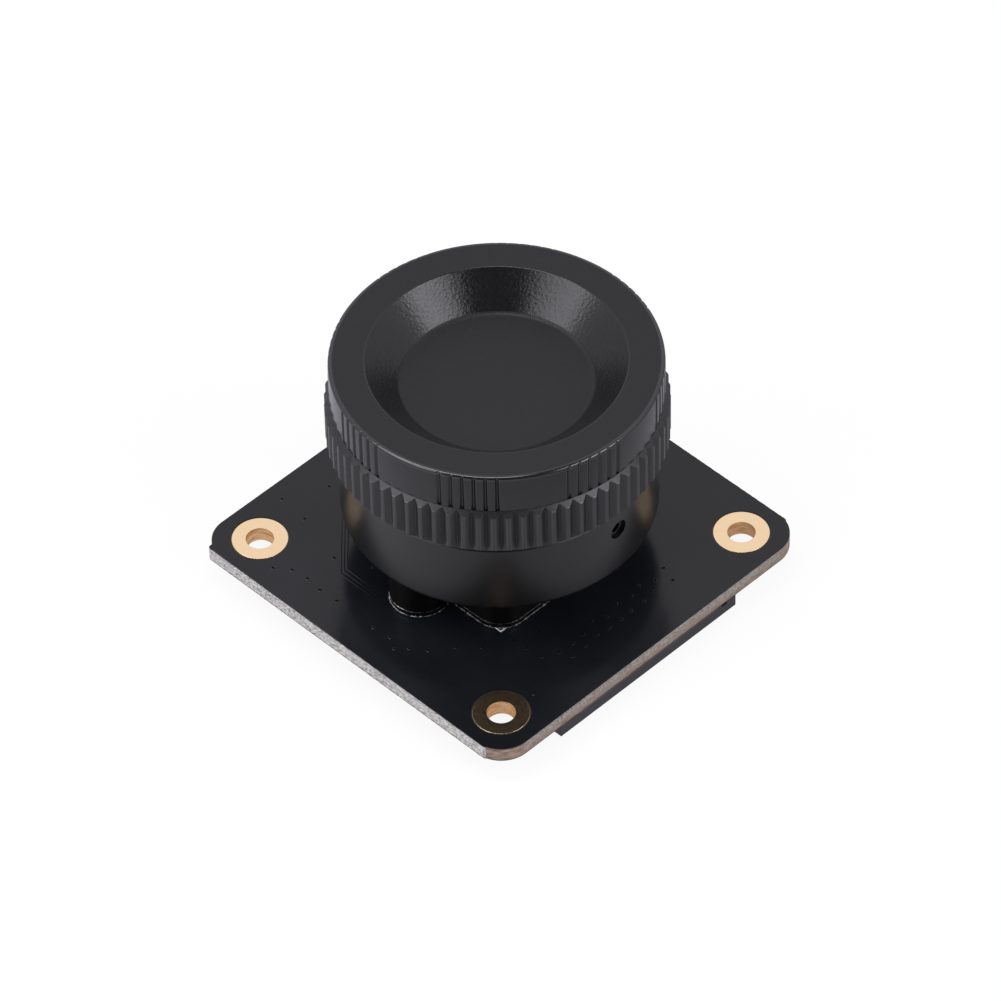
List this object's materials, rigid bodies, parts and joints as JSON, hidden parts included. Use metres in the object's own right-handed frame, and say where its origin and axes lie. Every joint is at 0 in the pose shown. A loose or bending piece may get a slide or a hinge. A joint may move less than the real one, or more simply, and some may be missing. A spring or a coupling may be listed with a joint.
{
  "type": "camera module",
  "caption": "Square sensor board with a screw lens mount, knurled adapter ring, dust cap and flat cable connector.",
  "frame": {"origin": "middle of the four mounting holes, on the underside of the board", "axes": "+Z is the optical axis and points at the scene; the cable edge is at -Y"},
  "size_m": [0.0378, 0.0378, 0.0257],
  "materials": {
    "solder_mask": "black solder mask over glass laminate",
    "gold_plating": "immersion gold over nickel",
    "anodised_black": "satin black anodised",
    "anodised_black_ring": "matte black anodised",
    "cap_plastic": "moulded, fine leathery grain",
    "zinc_steel": "black zinc",
    "foam_rubber": "soft",
    "filter_glass": "coated",
    "sensor_laminate": "moulded frame",
    "silicon": "polished silicon",
    "lid_glass": "polished",
    "housing_plastic": "moulded",
    "slider_plastic": "moulded",
    "tinned_bronze": "tin plated",
    "oscillator_can": "satin",
    "epoxy_moulding": "moulded",
    "capacitor_body": "fired, fine grained",
    "resistor_body": "glazed"
  },
  "bodies": {
    "module": {"circuit_board": "solder_mask", "mounting_pads": "gold_plating", "lens_holder": "anodised_black", "lock_screw": "zinc_steel", "holder_screw_left": "zinc_steel", "holder_screw_right": "zinc_steel", "dust_gasket": "foam_rubber", "ir_filter": "filter_glass", "sensor_package": "sensor_laminate", "sensor_die": "silicon", "sensor_cover_glass": "lid_glass", "connector_housing": "housing_plastic", "connector_contacts": "tinned_bronze", "connector_hold_downs": "tinned_bronze", "clock_oscillator": "oscillator_can", "voltage_regulator_1": "epoxy_moulding", "voltage_regulator_2": "epoxy_moulding", "voltage_regulator_3": "epoxy_moulding", "regulator_leads": "tinned_bronze", "capacitors": "capacitor_body", "resistors": "resistor_body", "chip_terminals": "tinned_bronze"},
    "ring": {"adapter_ring": "anodised_black_ring"},
    "cap": {"dust_cap": "cap_plastic"},
    "slider": {"connector_slider": "slider_plastic"}
  },
  "joints": [
    {"name": "ring_turn", "type": "hinge", "parent": "module", "child": "ring", "pos_m": [0, 0, 0.0144], "axis": [0, 0, 1], "range_deg": [0, 360]},
    {"name": "cap_lift", "type": "slide", "parent": "ring", "child": "cap", "axis": [0, 0, 1], "range_m": [0, 0.02]},
    {"name": "slider_pull", "type": "slide", "parent": "module", "child": "slider", "axis": [0, -1, 0], "range_m": [0, 0.0012]}
  ]
}
